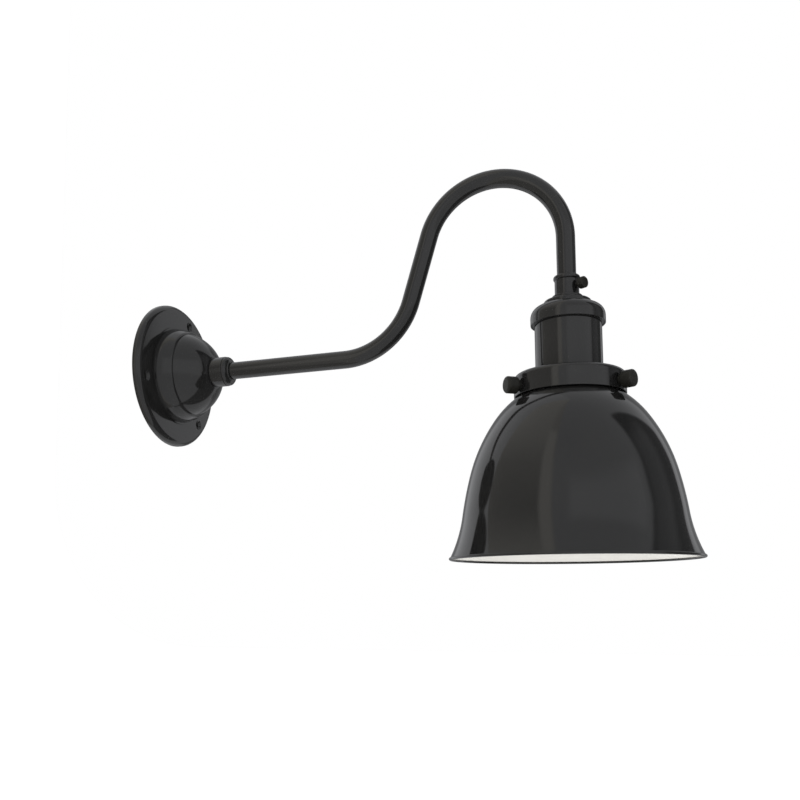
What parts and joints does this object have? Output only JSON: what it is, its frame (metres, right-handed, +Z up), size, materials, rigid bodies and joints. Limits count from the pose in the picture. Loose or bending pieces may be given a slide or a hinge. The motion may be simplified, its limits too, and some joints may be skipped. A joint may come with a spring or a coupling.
{
  "type": "swan neck wall light",
  "caption": "Swan-neck wall light: a round wall plate with a domed cover carries a bent tube arm and a lamp holder that swivels, with a bell-shaped metal shade opening downward.",
  "frame": {"origin": "centre of the wall plate's back face, on the wall", "axes": "+Y into the wall, -Y out along the arm, +Z up, +X to the right as seen from in front of the light"},
  "size_m": [0.2033, 0.4817, 0.3401],
  "materials": {
    "black_paint": "gloss black",
    "matte_black": "matte black",
    "zinc_steel": "zinc plated",
    "brass": "plain",
    "white_plastic": "matte",
    "black_plastic": "matte",
    "rubber": "matte",
    "cable_sheath": "matte",
    "core_sheath": "satin",
    "porcelain": "glazed"
  },
  "bodies": {
    "arm": {"wall_plate": "black_paint", "dome_cover": "black_paint", "dome_lugs": "zinc_steel", "dome_screws": "zinc_steel", "bridge": "zinc_steel", "bridge_screws": "zinc_steel", "terminal_block": "white_plastic", "terminal_tubes": "brass", "terminal_screws": "brass", "terminal_block_screws": "brass", "earth_tag": "brass", "earth_screw": "brass", "nipple": "zinc_steel", "nipple_nut": "zinc_steel", "nipple_washer": "zinc_steel", "cable_bush": "black_plastic", "hub": "black_paint", "sealing_ring": "rubber", "lock_nut": "black_paint", "swan_neck_tube": "black_paint", "flex_cable": "cable_sheath", "flex_cores": "core_sheath"},
    "holder": {"neck_bush": "black_paint", "neck_nut": "zinc_steel", "holder_cap": "black_paint", "holder_body": "black_paint", "gallery": "black_paint", "screw_bushes": "matte_black", "gallery_ring_nut": "zinc_steel", "porcelain": "porcelain", "screw_shell": "brass", "shell_rivet": "brass", "contact_rivet": "brass", "contact_foot": "brass", "socket_terminals": "brass", "socket_terminal_screws": "brass", "socket_cores": "core_sheath", "shade": "black_paint"},
    "neck_screw": {"neck_screw": "zinc_steel"},
    "neck_screw_head": {"neck_screw_head": "black_paint"},
    "shade_screw_1": {"shade_screw_1": "zinc_steel"},
    "shade_knob_1": {"shade_knob_1": "matte_black"},
    "shade_screw_2": {"shade_screw_2": "zinc_steel"},
    "shade_knob_2": {"shade_knob_2": "matte_black"},
    "shade_screw_3": {"shade_screw_3": "zinc_steel"},
    "shade_knob_3": {"shade_knob_3": "matte_black"},
    "centre_contact": {"centre_contact": "brass"}
  },
  "joints": [
    {"name": "holder_swivel", "type": "hinge", "parent": "arm", "child": "holder", "pos_m": [0, -0.38002, 0.05268], "axis": [0, 0, 1], "range_deg": [-90, 90]},
    {"name": "neck_screw_travel", "type": "slide", "parent": "holder", "child": "neck_screw", "axis": [-0.5, -0.866, 0], "range_m": [0, 0.0022]},
    {"name": "neck_screw_turn", "type": "hinge", "parent": "neck_screw", "child": "neck_screw_head", "pos_m": [0, -0.38002, 0.04318], "axis": [-0.5, -0.866, 0], "range_deg": [0, 1132]},
    {"name": "shade_screw_1_travel", "type": "slide", "parent": "holder", "child": "shade_screw_1", "axis": [0.9925, 0.1219, 0], "range_m": [0, 0.0034]},
    {"name": "shade_screw_1_turn", "type": "hinge", "parent": "shade_screw_1", "child": "shade_knob_1", "pos_m": [0, -0.38002, -0.04352], "axis": [0.9925, 0.1219, 0], "range_deg": [0, 1749]},
    {"name": "shade_screw_2_travel", "type": "slide", "parent": "holder", "child": "shade_screw_2", "axis": [-0.6018, 0.7986, 0], "range_m": [0, 0.0034]},
    {"name": "shade_screw_2_turn", "type": "hinge", "parent": "shade_screw_2", "child": "shade_knob_2", "pos_m": [0, -0.38002, -0.04352], "axis": [-0.6018, 0.7986, 0], "range_deg": [0, 1749]},
    {"name": "shade_screw_3_travel", "type": "slide", "parent": "holder", "child": "shade_screw_3", "axis": [-0.3907, -0.9205, 0], "range_m": [0, 0.0034]},
    {"name": "shade_screw_3_turn", "type": "hinge", "parent": "shade_screw_3", "child": "shade_knob_3", "pos_m": [0, -0.38002, -0.04352], "axis": [-0.3907, -0.9205, 0], "range_deg": [0, 1749]},
    {"name": "centre_contact_flex", "type": "hinge", "parent": "holder", "child": "centre_contact", "pos_m": [-0.0053, -0.38002, -0.01762], "axis": [0, -1, 0], "range_deg": [0, 12], "stiffness_Nm_per_rad": 0.1}
  ],
  "couplings": [
    {"joint": "neck_screw_turn", "follows": "neck_screw_travel", "rad_per_m": 8976},
    {"joint": "shade_screw_1_turn", "follows": "shade_screw_1_travel", "rad_per_m": 8976},
    {"joint": "shade_screw_2_turn", "follows": "shade_screw_2_travel", "rad_per_m": 8976},
    {"joint": "shade_screw_3_turn", "follows": "shade_screw_3_travel", "rad_per_m": 8976}
  ]
}
